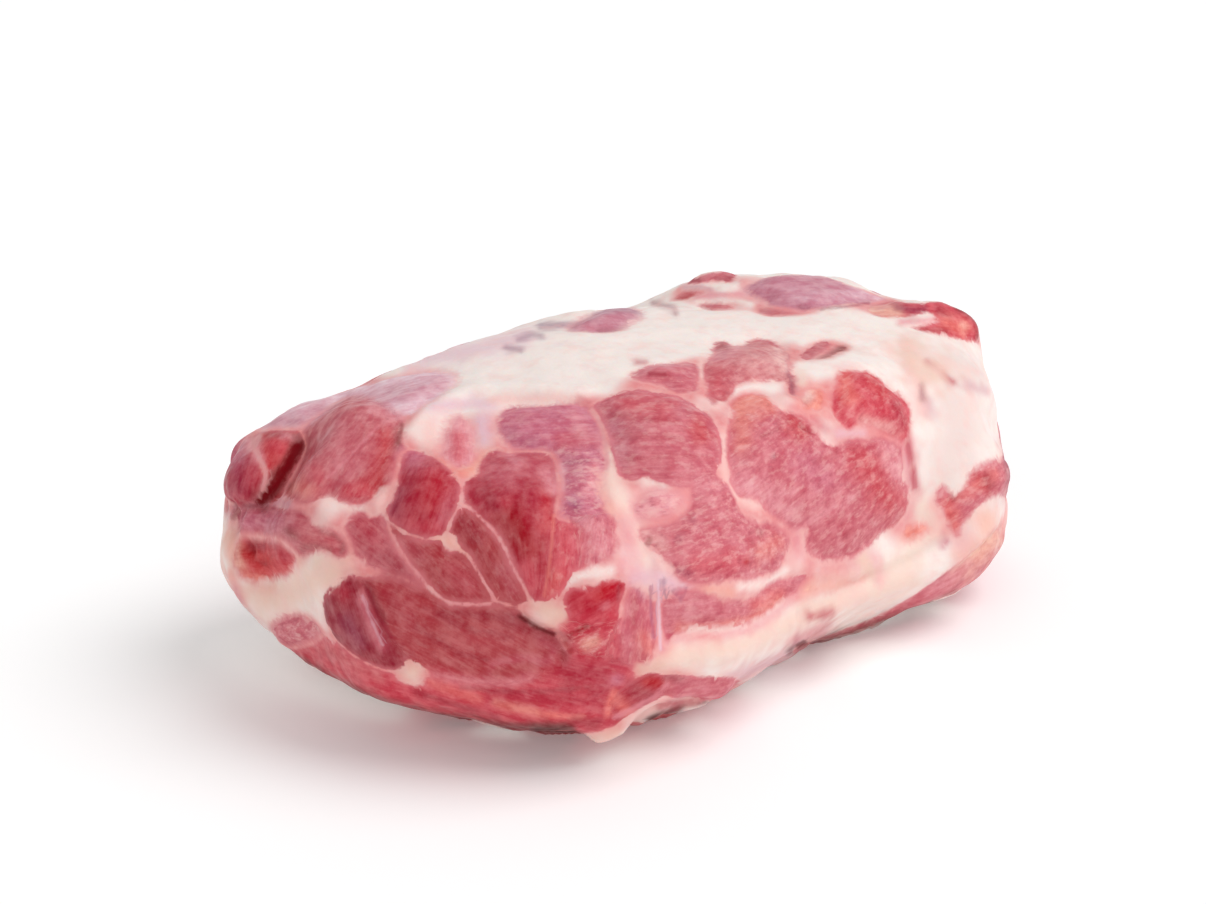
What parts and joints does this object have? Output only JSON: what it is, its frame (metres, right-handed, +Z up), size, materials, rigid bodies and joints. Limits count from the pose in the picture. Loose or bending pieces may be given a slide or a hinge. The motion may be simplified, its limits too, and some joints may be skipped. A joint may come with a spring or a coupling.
{
  "type": "boneless pork collar",
  "caption": "Raw boneless pork collar in one piece, a rounded block of lean neck muscles with seams and a cap of fat, lying flat.",
  "frame": {"origin": "middle of the meat's bounding box, on the board that it lies on", "axes": "+Z up; +X along the cut, from the wide shoulder end to the narrower loin end; the boned side with the open muscles faces -Y"},
  "size_m": [0.27, 0.1756, 0.094],
  "materials": {
    "raw_pork": "moist raw lean pork with cream fat and seams"
  },
  "bodies": {
    "root": {"pork_collar": "raw_pork"}
  },
  "joints": []
}
